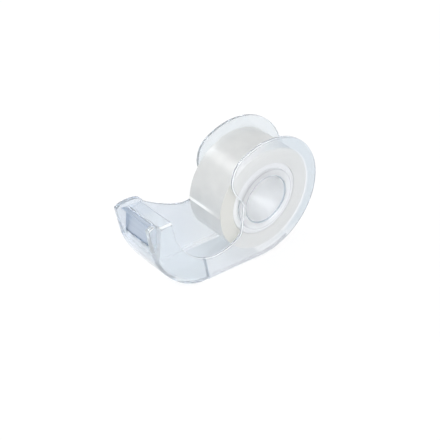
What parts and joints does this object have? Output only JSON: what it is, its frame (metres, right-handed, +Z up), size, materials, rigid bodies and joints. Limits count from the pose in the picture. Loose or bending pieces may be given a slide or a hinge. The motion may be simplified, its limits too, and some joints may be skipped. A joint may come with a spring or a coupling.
{
  "type": "handheld tape dispenser",
  "caption": "Handheld tape dispenser: clear moulded body with an open throat, a side cover, a toothed steel blade on the nose and a tape roll that spins on the hub.",
  "frame": {"origin": "middle of the length and width, on the flat base", "axes": "+X from the nose to the back, +Y along the roll's axis from the cover to the tall wall, +Z up"},
  "size_m": [0.0838, 0.0214, 0.0528],
  "materials": {
    "clear_body": "clear polystyrene with a faint blue tint, polished",
    "clear_cover": "clear polystyrene with a faint blue tint, polished",
    "blade_steel": "plain bright strip",
    "core_plastic": "moulded, satin",
    "matte_tape": "wound matte tape, cream and slightly see-through"
  },
  "bodies": {
    "body": {"body_shell": "clear_body", "side_cover": "clear_cover", "cutter_blade": "blade_steel"},
    "roll": {"tape_core": "core_plastic", "tape_roll": "matte_tape"}
  },
  "joints": [
    {"name": "roll_spin", "type": "hinge", "parent": "body", "child": "roll", "pos_m": [0.01545, 0, 0.0264], "axis": [0, 1, 0], "continuous": true}
  ]
}
